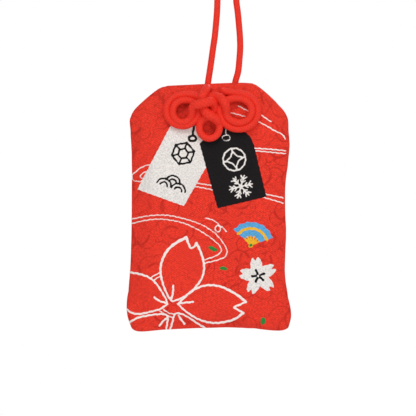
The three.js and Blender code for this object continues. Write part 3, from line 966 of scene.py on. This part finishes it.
def black_tag_figures():
    """White woven figures of the black tag: ring and string, linked rings, snow crystal."""
    tilt, radius = 14.0, 3.4
    rings, crystal = (7.9, -23.3), (9.9, -31.6)
    lines = [
        stroke([(5.0, -12.5), (5.2, -14.0), (5.45, -15.7)], 0.17),
        ring_line(0.85, 0.15, (5.45, -16.75), wide=1.4),
        ring_line(radius, 0.24, rings),
        *spokes(0.0, 3.6, 0.21, crystal, tilt, 6),
    ]
    sweep = np.radians(np.linspace(-45, 45, 13))
    arc = radius * np.column_stack([np.cos(sweep) - math.sqrt(2), np.sin(sweep)])
    arc = np.column_stack([arc, np.full(len(arc), 0.22)])
    lines += [turned(arc, rings, tilt + 45 + 90 * k) for k in range(4)]
    for k in range(6):
        for side in (-1, 1):
            for root, reach in ((1.3, 0.75), (2.3, 0.95)):
                twig = [(root, 0, 0.2), (root + reach, side * reach, 0.2)]
                lines.append(turned(twig, crystal, tilt + 60 * k))
    return lines


def least_of(places, lines=(), areas=()):
    least = np.full(len(places), FAR)
    for line in lines:
        np.minimum(least, line_distance(places, line), out=least)
    for corners in areas:
        np.minimum(least, area_distance(places, corners), out=least)
    return least


def small_blossom():
    """Outline of the small blossom and its stamens."""
    petals = [
        turned(SMALL_PETAL, (0, 0), SMALL_TURN - 360 / SMALL_COUNT * k, SMALL_RADIUS)[::-1]
        for k in range(SMALL_COUNT)
    ]
    stamens = [spokes(0.65, 1.95, 0.36, SMALL_BLOSSOM, angle, 1)[0] for angle in SMALL_STAMENS]
    return np.vstack(petals) + np.array(SMALL_BLOSSOM), stamens


def fan_shapes():
    """Folding fan: pleated leaf, a band on it, its sticks, and the rivet that holds them."""
    degrees = np.linspace(-FAN_HALF, FAN_HALF, 49)
    arc = FAN_RADIUS * np.column_stack([np.cos(np.radians(degrees)), np.sin(np.radians(degrees))])
    outer = arc * (1 - PLEAT_DEPTH * np.abs(np.sin(degrees * np.pi / FAN_PLEAT)))[:, None]
    leaf = turned(np.vstack([outer, FAN_INNER * arc[::-1]]), FAN_PIVOT, FAN_TURN)
    band = np.column_stack([FAN_BAND * outer, np.full(len(outer), FAN_BAND_HALF)])
    reach = FAN_STICK_REACH * FAN_HALF
    sticks = [
        turned(FAN_STICK, FAN_PIVOT, FAN_TURN + angle) for angle in np.linspace(-reach, reach, FAN_STICKS)
    ]
    return leaf, turned(band, FAN_PIVOT, FAN_TURN), sticks, turned(circle(FAN_RIVET), FAN_PIVOT, 0)


def weave_layers(places):
    """Signed distance of each place to the figures in each thread colour, in millimetres."""
    x, z = places.T
    places = places + sum(
        size * np.column_stack([np.sin(up * z + over * x), np.sin(along * x - down * z)])
        for size, up, over, along, down in WOBBLES
    )
    lines = [stroke(points) for points in RIBBONS + PETALS]
    lines += [stroke(points, STAMEN_HALF) for points in STAMENS]
    blossom, stamens = small_blossom()
    leaf, band, sticks, rivet = fan_shapes()
    specks = [turned(circle(1.0) * (long, wide), at, angle) for at, angle, long, wide in SPECKS]
    return {
        "line_weft": least_of(places, lines),
        "white_weft": least_of(places, areas=[blossom, WHITE_TAG]),
        "black_weft": least_of(places, white_tag_figures() + stamens, [BLACK_TAG]),
        "light_weft": least_of(places, black_tag_figures()),
        "blue_weft": least_of(places, areas=[leaf]),
        "yellow_weft": least_of(places, [band, *sticks]),
        "green_weft": least_of(places, areas=[*specks, rivet]),
    }


EDGE_SOFTNESS = 0.09
FRONT_EDGE = 0.02
RELIEF_RAMP = 0.3
LOBE_RAMP = 0.7
PLAIN_EDGE = 0.2
TWILL_STEP = 0.62
TWILL_SLOPE = 0.62
RIB_STEP = 0.44
RIB_SLOPE = 0.3
# Layers of thread from the lowest: attribute, colour, and tint of its shaded parts.
THREADS = (
    ("line_weft", "line", 0.86),
    ("white_weft", "white", 0.72),
    ("blue_weft", "blue", 0.72),
    ("yellow_weft", "yellow", 0.74),
    ("green_weft", "green", 0.75),
    ("black_weft", "black", 2.1),
    ("light_weft", "white", 0.74),
)
THREAD_CREST = 1.05


def weave_brocade(pouch, settings):
    """Give the cloth its woven figures: attributes for their colours, and their slight relief."""
    places = coordinates(pouch)
    plan = (places - np.array(MOUTH)) / MM
    flat = plan[:, [0, 2]]
    on_front = plan[:, 1] < FRONT_EDGE
    relief = np.zeros(len(places))
    for name, apart in weave_layers(flat).items():
        apart = np.where(on_front, apart, FAR)
        add_attribute(pouch, name, np.clip(apart, -1, 1))
        np.maximum(relief, np.clip(0.5 - apart / RELIEF_RAMP, 0, 1), out=relief)
    edge, tone = cloud_weave(np.where(on_front[:, None], flat, flat * (-1, 1)))
    petals = [smooth_curve([*petal, petal[0]], 6) for petal in PLAIN_PETALS]
    plain = least_of(flat, areas=petals)
    edge = np.where(on_front & (plain < PLAIN_EDGE), CLOUD_FAR, edge)
    add_attribute(pouch, "cloud_edge", np.clip(edge, 0, CLOUD_FAR))
    add_attribute(pouch, "cloud_tone", tone)
    lobes = 0.5 * smoothstep(0, LOBE_RAMP, edge) - 0.25
    normals = np.empty(len(places) * 3)
    pouch.data.vertices.foreach_get("normal", normals)
    lift = settings.weft_relief * np.maximum(relief, lobes * (1 - relief))
    set_coordinates(pouch, places + normals.reshape(-1, 3) * lift[:, None])


def brocade_finish(colours):
    """Twill brocade: vermilion ground with darker cloud lines and figures in coloured weft."""
    finish = Finish("brocade")
    place = finish.place()
    x, _, z = finish.axes(place)
    twill = ((x * TWILL_SLOPE + z) * (2 * math.pi / TWILL_STEP)).sine()
    rib = ((z - x * RIB_SLOPE) * (2 * math.pi / RIB_STEP)).sine()
    grain = finish.noise(place, 2.4, 3.0, Roughness=0.6)
    speckle = grain - 0.5
    patch = finish.noise(place, 0.16, 2.0)
    breaks = finish.noise(place, 0.3, 2.0)
    shaded, lit, worn = tinted(colours.ground, 0.74, 1.19, 0.8)
    colour = finish.mix((0.5 + twill * 0.24 + speckle * 4.2).clamped(), shaded, lit)
    tone = finish.attribute("cloud_tone") * 0.14
    colour = finish.mix((tone + (patch - 0.45) * 0.3).clamped(), colour, worn)
    line = ((0.54 - finish.attribute("cloud_edge")) / 0.4).clamped()
    line = line * ((breaks - 0.25) * 3.2).clamped() * (grain * 0.6 + 0.4)
    colour = finish.mix(line, colour, rgba(colours.cloud))
    light = (0.62 + rib * 0.2 + speckle * 3.2).clamped()
    woven = None
    for name, thread, depth in THREADS:
        cover = (0.5 - finish.attribute(name) / EDGE_SOFTNESS + speckle * 0.9).clamped()
        weft = finish.mix(light, *tinted(getattr(colours, thread), depth, THREAD_CREST))
        colour = finish.mix(cover, colour, weft)
        woven = (woven + cover).clamped() if woven else cover
    height = twill * (1 - woven) * 0.5 + rib * woven * 0.5 + grain * 0.8
    return finish.close(
        Base_Color=colour,
        Roughness=0.78 - woven * 0.12 + speckle * 0.2,
        Normal=finish.bump(height, 0.4, 0.06 * MM),
        Sheen_Weight=0.05,
        Sheen_Roughness=0.45,
        Sheen_Tint=rgba(colours.ground),
        Specular_IOR_Level=0.12,
    )


SMOOTH_LEVELS = 2


class CHARM_OT_pouch(bpy.types.Operator):
    """Make the padded brocade pouch with its woven figures"""

    bl_idname = "charm.pouch"
    bl_label = "Brocade Pouch"

    def execute(self, context):
        settings = context.scene.charm_pouch
        vertices, faces, held = pouch_mesh(settings)
        pouch = new_piece("brocade_pouch", vertices, faces)
        relax_cloth(pouch, held, settings)
        set_coordinates(pouch, to_frame(coordinates(pouch)))
        smooth = pouch.modifiers.new("Subdivision", "SUBSURF")
        smooth.levels = smooth.render_levels = SMOOTH_LEVELS
        bpy.ops.object.modifier_apply(modifier=smooth.name)
        pouch.data.shade_smooth()
        weave_brocade(pouch, settings)
        pouch.data.materials.append(brocade_finish(context.scene.charm_colours))
        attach(pouch, "pouch")
        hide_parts("front_panel", "back_panel")
        return {"FINISHED"}


KNOT_PITCH = 1.91
CROSSING_PITCH = 1.8
SEAT = 1.2
INNER_RISE = 0.3
TURN_STEP = 30
KNOT_MIDDLE = (0.9, -7.0)
SPREAD = 0.33
SPREAD_REACH = (7.0, 3.8)
IN_FRONT = -30
# Loops of the knot: across, then for the inner and the outer turn how far up, the radius of
# the hole, and for each turn its height over its width.
LEFT_EAR = (-7.9, (-8.75, -8.42), 2.0, (1.115, 0.965))
RIGHT_EAR = (9.22, (-8.5, -8.68), 3.03, (0.915, 0.92))
BOTTOM_LOOP = (0.3, (-13.7, -13.7), 2.09, (1.05, 1.05))
# Stretches of the knot between its loops: across, up, and height over the cloth in pitches.
DOWN_MIDDLE = [
    (*LEFT_HOLE, -0.9), (-0.45, -1.65, 0.1), (-0.8, -2.3, 0.75), (-1.4, -3.3, 1.1), (-1.8, -4.4, 1.1),
    (-1.95, -5.6, 0.9), (-1.7, -6.9, 0.8), (-1.2, -8.2, 0.9), (-0.45, -9.4, 1.2), (0.65, -10.2, 1.25),
    (1.9, -10.75, 0.95), (2.75, -11.6, 0.5), (3.2, -12.6, 0.15),
]
LEG_AND_HOOK = [
    (-2.6, -12.5, 0.1), (-2.05, -11.4, 0), (-1.1, -10.55, 0), (0.1, -9.75, 0), (1.05, -8.85, 0),
    (1.6, -7.85, 0.1), (1.7, -6.9, 0.4), (1.3, -6.05, 0.9), (0.2, -5.9, 1.5), (-1.4, -6.3, 1.85),
    (-3.1, -6.75, 1.75), (-4.4, -7.1, 1.5), (-4.95, -7.9, 1.2), (-5.0, -9.0, 0.8),
]
TOP_AND_ARCH = [
    (-6.0, -3.6, 0), (-4.3, -3.85, 0), (-2.8, -4.45, 0), (-1.4, -4.75, 0), (0.0, -4.6, 0),
    (1.3, -4.35, 0.1), (2.5, -4.35, 0.4), (3.6, -4.75, 0.85), (4.45, -5.55, 1.2), (5.0, -6.5, 1.3),
    (5.3, -7.6, 1.0), (5.42, -8.6, 0.6),
]
TO_RIGHT_HOLE = [
    (8.7, -3.15, 0), (7.1, -2.95, 0), (5.7, -2.75, 0), (4.75, -2.7, -0.1), (*RIGHT_HOLE, -0.9),
]


def loop_turn(loop, start, stop, from_layer, to_layer):
    """Part of an oval turn about a loop's hole, from one layer of cord to another, inner higher."""
    across, ups, hole, talls = loop
    count = round(abs(stop - start) / TURN_STEP) + 1
    angles = np.radians(np.linspace(start, stop, count))
    turn = []
    for angle, layer in zip(angles, np.linspace(from_layer, to_layer, count)):
        radius = hole + KNOT_PITCH * (0.5 + layer)
        up, tall = (inner + (outer - inner) * layer for inner, outer in (ups, talls))
        x, z = across + radius * math.cos(angle), up + tall * radius * math.sin(angle)
        turn.append((x, z, INNER_RISE * (1 - layer)))
    return turn


def double_turn(loop, start, leave, stop):
    """Two turns about a loop's hole, from the inside out, which step outwards after one angle."""
    step = math.copysign(TURN_STEP, stop - start)
    return [
        *loop_turn(loop, start, leave, 0, 0),
        *loop_turn(loop, leave + step, leave + 3 * step, 0.15, 0.85),
        *loop_turn(loop, leave + 4 * step, stop, 1, 1),
    ]


def knot_plan():
    """The knot's route: across, up, and height over the cloth in cord pitches."""
    return [
        *DOWN_MIDDLE, *loop_turn(BOTTOM_LOOP, 0, -180, 0, 0),
        *LEG_AND_HOOK, *double_turn(LEFT_EAR, -40, -255, -615),
        *TOP_AND_ARCH, *double_turn(RIGHT_EAR, 205, 435, 800),
        *TO_RIGHT_HOLE,
    ]


def knot_spread(centres):
    """The cord is wider where its strands press on one another in the middle of the knot."""
    plan = (centres - np.array(MOUTH)) / MM
    apart = np.hypot(plan[:, 0] - KNOT_MIDDLE[0], plan[:, 2] - KNOT_MIDDLE[1])
    return 1 + SPREAD * smoothstep(*SPREAD_REACH, apart)


def on_cloth(plan, low, pitch):
    """Places in millimetres over the front of the pouch, from plan points with heights in pitches."""
    pouch = bpy.data.objects["brocade_pouch"]
    tree = BVHTree.FromObject(pouch, bpy.context.evaluated_depsgraph_get())
    found = []
    for across, up, level in plan:
        above = Vector(to_frame([(across, IN_FRONT, up)])[0])
        hit = tree.ray_cast(above, Vector((0, 1, 0)))[0]
        if hit is None:
            raise RuntimeError(f"no cloth under the knot at {across}, {up}")
        found.append((across, hit.y / MM - low - level * pitch, up))
    return found


class CHARM_OT_knot(bpy.types.Operator):
    """Tie the braided cord in its double-looped knot on the front"""

    bl_idname = "charm.knot"
    bl_label = "Knot"

    def execute(self, context):
        settings = context.scene.charm_cord
        route = smooth_curve(on_cloth(knot_plan(), SEAT, CROSSING_PITCH), 12)
        knot = braided_cord("knot_cord", to_frame(route), settings.knot_diameter, settings, knot_spread)
        knot.data.materials.append(cord_finish(settings))
        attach(knot, "knot")
        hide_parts("double_knot")
        return {"FINISHED"}


CAD_CORD = 1.8
INNER_TOP = -1.0
INNER_BEND = -1.6
# Cords inside the mouth: side, where the strand comes down, and its hole.
INNER_CORDS = (("left", -0.15, LEFT_HOLE), ("right", 8.05, RIGHT_HOLE))


class CHARM_OT_inner_cords(bpy.types.Operator):
    """Make the two short cords from the mouth to the holes under the knot"""

    bl_idname = "charm.inner_cords"
    bl_label = "Inner Cords"

    def execute(self, context):
        settings = context.scene.charm_cord
        for side, start, hole in INNER_CORDS:
            face = on_cloth([(*hole, 0)], 0, 0)[0][1]
            plan = [
                (start, 0, INNER_TOP), (start, 0.1 * face, INNER_BEND),
                ((start + hole[0]) / 2, 0.3 * face, (hole[1] + INNER_BEND) / 2),
                (hole[0], 0.6 * face, hole[1]), (hole[0], 0.95 * face, hole[1]),
            ]
            route = to_frame(smooth_curve(plan))
            cord = braided_cord(f"inner_cord_{side}_braid", route, CAD_CORD * MM, settings)
            cord.data.materials.append(cord_finish(settings))
            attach(cord, "pouch")
            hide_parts(f"inner_cord_{side}")
        return {"FINISHED"}


def fibre_finish(name, colour, scale, rough):
    """Plain fibrous sheet, such as paper, board or interlining."""
    finish = Finish(name)
    place = finish.place()
    fine = finish.noise(place, scale, 4.0)
    broad = finish.noise(place, scale * 0.12, 2.0)
    light = (fine * 0.7 + broad * 0.5 - 0.1).clamped()
    return finish.close(
        Base_Color=finish.mix(light, *tinted(colour, 0.82, 1.08)),
        Roughness=rough + (fine - 0.5) * 0.15,
        Normal=finish.bump(fine, 0.4, 0.04 * MM),
    )


def wood_finish(colour):
    """Planed softwood with an upright grain."""
    finish = Finish("tablet_wood")
    x, y, z = finish.axes(finish.place())
    bend = finish.node("CombineXYZ", {0: x, 1: y, 2: z * 0.06})
    drift = finish.noise(bend, 0.35, 2.0)
    ring = ((x + drift * 6.0) * 2.4).sine() * 0.5 + 0.5
    pore = finish.noise(bend, 5.0, 3.0)
    light = (ring * 0.6 + pore * 0.4).clamped()
    return finish.close(
        Base_Color=finish.mix(light, *tinted(colour, 0.72, 1.12)),
        Roughness=0.62 + pore * 0.15,
        Normal=finish.bump(light, 0.3, 0.05 * MM),
    )


class CHARM_OT_inside(bpy.types.Operator):
    """Finish the interlinings, card, wrapped tablet and seam threads inside the pouch"""

    bl_idname = "charm.inside"
    bl_label = "Inside"

    def execute(self, context):
        slots = {m["slot"]: m["base_color"] for m in frame["record"]["materials"]}
        finishes = {
            "interlining": fibre_finish("interlining", slots["interlining"], 2.4, 0.85),
            "card": fibre_finish("board", slots["card"], 1.6, 0.82),
            "paper": fibre_finish("wrapper_paper", slots["paper"], 3.0, 0.75),
            "thread": fibre_finish("seam_thread", slots["thread"], 6.0, 0.7),
            "wood": wood_finish(slots["wood"]),
        }
        for part in frame["record"]["subparts"]:
            if part["material_slot"] in finishes:
                node = frame["nodes"][part["node"]]
                node.data.materials.clear()
                node.data.materials.append(finishes[part["material_slot"]])
        return {"FINISHED"}


# What the camera looks at, across from the middle of the mouth and up from it in millimetres.
AIM = (-0.12, -38.1)
SENSOR_WIDTH = 36
CLIP_END = 20
# Lamps: name, place from what the camera looks at, size, and share of the key light's power.
LAMPS = (
    ("key", (-0.1, -0.75, 0.65), 0.5, 1.0),
    ("fill", (0.6, -0.7, 0.1), 0.8, 0.42),
    ("low", (-0.2, -0.8, -0.5), 0.9, 0.74),
    ("back", (0.3, 1.0, 0.7), 0.7, 2.1),
)
FLOOR_RADIUS = 1.0
FLOOR_SIDES = 96
FLOOR_GREYS = (0.88, 0.93)
SEEN_RAYS = ("Is Camera Ray", "Is Glossy Ray", "Is Transmission Ray")


def add_camera(scene, aim, settings):
    lens = bpy.data.cameras.new("camera")
    lens.sensor_width = SENSOR_WIDTH
    lens.lens = lens.sensor_width * settings.distance / settings.view_width
    lens.clip_end = CLIP_END
    camera = bpy.data.objects.new("camera", lens)
    camera.location = aim + Vector((0, -settings.distance, 0))
    camera.rotation_euler = (math.pi / 2, 0, 0)
    scene.collection.objects.link(camera)
    scene.camera = camera


def add_lamps(scene, aim, power):
    for name, place, size, share in LAMPS:
        lamp = bpy.data.lights.new(name, "AREA")
        lamp.shape = "DISK"
        lamp.size = size
        lamp.energy = power * share
        holder = bpy.data.objects.new(name, lamp)
        holder.location = aim + Vector(place)
        holder.rotation_euler = (-Vector(place)).to_track_quat("-Z", "Y").to_euler()
        scene.collection.objects.link(holder)


def add_floor(place):
    bpy.ops.object.select_all(action="DESELECT")
    bpy.ops.mesh.primitive_circle_add(
        vertices=FLOOR_SIDES, radius=FLOOR_RADIUS, fill_type="NGON", location=place
    )
    floor = bpy.context.active_object
    floor.name = "floor"
    bpy.ops.object.transform_apply(location=True)
    finish = Finish("floor")
    cloudy = finish.noise(finish.place(), 0.05, 2.0)
    tone = finish.mix(cloudy, *(rgba((grey, grey, grey)) for grey in FLOOR_GREYS))
    floor.data.materials.append(finish.close(Base_Color=tone, Roughness=0.9))


def add_room(scene, strength):
    """White light all round, at full strength where the camera or a reflection sees it."""
    world = bpy.data.worlds.new("studio")
    world.use_nodes = True
    scene.world = world
    nodes = Nodes(world.node_tree)
    camera, glossy, through = nodes.outputs(nodes.node("LightPath"), SEEN_RAYS)
    lit, seen = (
        nodes.node("Background", {"Color": (1, 1, 1, 1), "Strength": share}) for share in (strength, 1.0)
    )
    mix = nodes.node("MixShader", {0: camera.larger(glossy).larger(through), 1: lit, 2: seen})
    nodes.node("OutputWorld", {0: mix})


class CHARM_OT_stage(bpy.types.Operator):
    """Set the camera, the soft light and the floor"""

    bl_idname = "charm.stage"
    bl_label = "Stage"

    def execute(self, context):
        scene = context.scene
        settings = scene.charm_stage
        aim = Vector((MOUTH.x + AIM[0] * MM, 0, MOUTH.z + AIM[1] * MM))
        add_camera(scene, aim, settings)
        add_lamps(scene, aim, settings.key)
        add_floor(Vector((aim.x, 0, CAD_LOW.z - settings.floor_drop)))
        add_room(scene, settings.room)
        scene.view_settings.view_transform = "Standard"
        return {"FINISHED"}


OPERATORS = (
    CHARM_OT_stage,
    CHARM_OT_hanging_cord,
    CHARM_OT_pouch,
    CHARM_OT_knot,
    CHARM_OT_inner_cords,
    CHARM_OT_inside,
)
SETTINGS = {
    "charm_cord": CharmCordSettings,
    "charm_pouch": CharmPouchSettings,
    "charm_colours": CharmColourSettings,
    "charm_stage": CharmStageSettings,
}


class CHARM_PT_panel(bpy.types.Panel):
    """Buttons and settings of the charm"""

    bl_label = "Omamori Charm"
    bl_idname = "CHARM_PT_panel"
    bl_space_type = "VIEW_3D"
    bl_region_type = "UI"
    bl_category = "Charm"

    def draw(self, context):
        for operator in OPERATORS:
            self.layout.operator(operator.bl_idname)
        for group in SETTINGS:
            box = self.layout.box()
            values = getattr(context.scene, group)
            for name in values.bl_rna.properties.keys():
                if name not in ("rna_type", "name"):
                    box.prop(values, name)


def register():
    for group, kind in SETTINGS.items():
        bpy.utils.register_class(kind)
        setattr(bpy.types.Scene, group, bpy.props.PointerProperty(type=kind))
    for kind in (*OPERATORS, CHARM_PT_panel):
        bpy.utils.register_class(kind)


def unregister():
    for kind in (CHARM_PT_panel, *reversed(OPERATORS)):
        bpy.utils.unregister_class(kind)
    for group, kind in SETTINGS.items():
        delattr(bpy.types.Scene, group)
        bpy.utils.unregister_class(kind)


def main():
    register()
    bpy.ops.charm.stage()
    bpy.ops.charm.hanging_cord()
    bpy.ops.charm.pouch()
    bpy.ops.charm.knot()
    bpy.ops.charm.inner_cords()
    bpy.ops.charm.inside()


if __name__ == "__main__":
    main()
